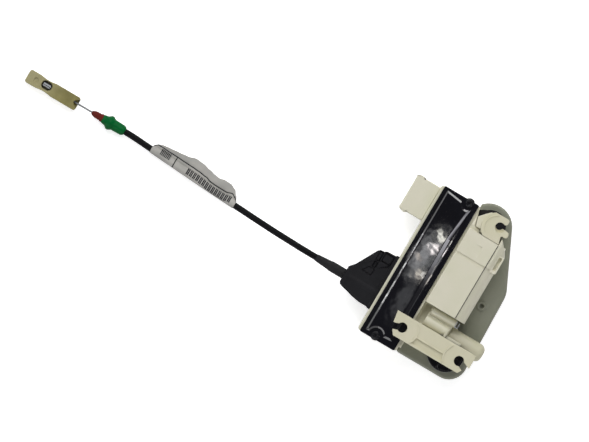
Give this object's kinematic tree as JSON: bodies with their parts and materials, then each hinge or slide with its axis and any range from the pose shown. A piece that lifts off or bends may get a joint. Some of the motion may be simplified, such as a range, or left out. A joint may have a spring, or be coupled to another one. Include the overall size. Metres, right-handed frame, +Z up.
{
  "type": "door soft-close actuator",
  "caption": "Motor-driven cable puller for closing a car door: worm gear and rack in a cream casing with a gloss black tray cover, keyhole brackets and a Bowden cable.",
  "frame": {"origin": "on the base face, under the point where the motor axis and the cable axis cross", "axes": "+X along the cable axis from the cable's end to the rack tube, +Y along the motor axis towards the connector, +Z up out of the base face"},
  "size_m": [0.428, 0.1439, 0.0477],
  "materials": {
    "cream_plastic": "moulded, satin",
    "shell_plastic": "moulded, fine texture",
    "gloss_black": "mirror gloss",
    "matte_black": "fine moulded texture",
    "black_rubber": "matt",
    "conduit_skin": "extruded, semi-matt",
    "red_rubber": "matt",
    "green_plastic": "moulded, semi-gloss",
    "clip_plastic": "translucent, moulded",
    "label_paper": "coated paper",
    "steel": "zinc plated",
    "tool_steel": "ground",
    "core_steel": "stacked sheet",
    "brass": "turned",
    "copper": "enamelled wire",
    "magnet": "sintered ferrite",
    "carbon": "pressed carbon",
    "board": "solder mask",
    "white_pom": "moulded, waxy"
  },
  "bodies": {
    "actuator": {"base_plate": "shell_plastic", "base_seal": "black_rubber", "base_shell": "shell_plastic", "base_screws": "steel", "tray": "cream_plastic", "cover_gasket": "black_rubber", "cover": "gloss_black", "cover_screws": "gloss_black", "connector_shroud": "cream_plastic", "connector_pins": "brass", "circuit_board": "board", "board_parts": "matte_black", "motor_housing": "cream_plastic", "motor_cover": "cream_plastic", "motor_end_cap": "cream_plastic", "motor_can": "steel", "end_bell": "matte_black", "magnets": "magnet", "brushes": "carbon", "shaft_bushes": "brass", "wheel_bushes": "brass", "gear_housing": "cream_plastic", "gear_cover": "cream_plastic", "gear_cap": "gloss_black", "spring_clip": "steel", "rack_tube": "cream_plastic", "end_bumper": "black_rubber", "wire_guide": "white_pom", "lower_bracket": "cream_plastic", "upper_bracket": "cream_plastic", "bracket_post": "cream_plastic", "bracket_screws": "steel", "upper_buffer": "black_rubber", "cable_boot": "matte_black", "strain_sleeve": "black_rubber", "conduit": "conduit_skin", "label": "label_paper", "ferrule": "green_plastic", "seal_boot": "red_rubber"},
    "rotor": {"armature_core": "core_steel", "windings": "copper", "commutator": "copper", "motor_shaft": "tool_steel", "worm": "tool_steel"},
    "wheel": {"worm_wheel": "white_pom", "pinion": "tool_steel", "wheel_shaft": "tool_steel"},
    "puller": {"rack": "tool_steel", "rack_nipple": "brass", "pull_wire": "steel"},
    "cable_end": {"end_wire": "steel", "end_nipple": "steel", "end_clip": "clip_plastic"}
  },
  "joints": [
    {"name": "rotor_spin", "type": "hinge", "parent": "actuator", "child": "rotor", "pos_m": [0, 0, 0.0314], "axis": [0, -1, 0], "range_deg": [0, 1787]},
    {"name": "wheel_turn", "type": "hinge", "parent": "actuator", "child": "wheel", "pos_m": [0.0145, -0.0132, 0], "axis": [0, 0, -1], "range_deg": [0, 68.8]},
    {"name": "rack_slide", "type": "slide", "parent": "actuator", "child": "puller", "axis": [1, 0, 0], "range_m": [0, 0.012]},
    {"name": "cable_pull_slide", "type": "slide", "parent": "actuator", "child": "cable_end", "axis": [1, 0, 0], "range_m": [0, 0.012]}
  ],
  "couplings": [
    {"joint": "wheel_turn", "follows": "rotor_spin", "ratio": 0.038462},
    {"joint": "rack_slide", "follows": "rotor_spin", "m_per_rad": 0.00038462},
    {"joint": "cable_pull_slide", "follows": "rotor_spin", "m_per_rad": 0.00038462}
  ]
}
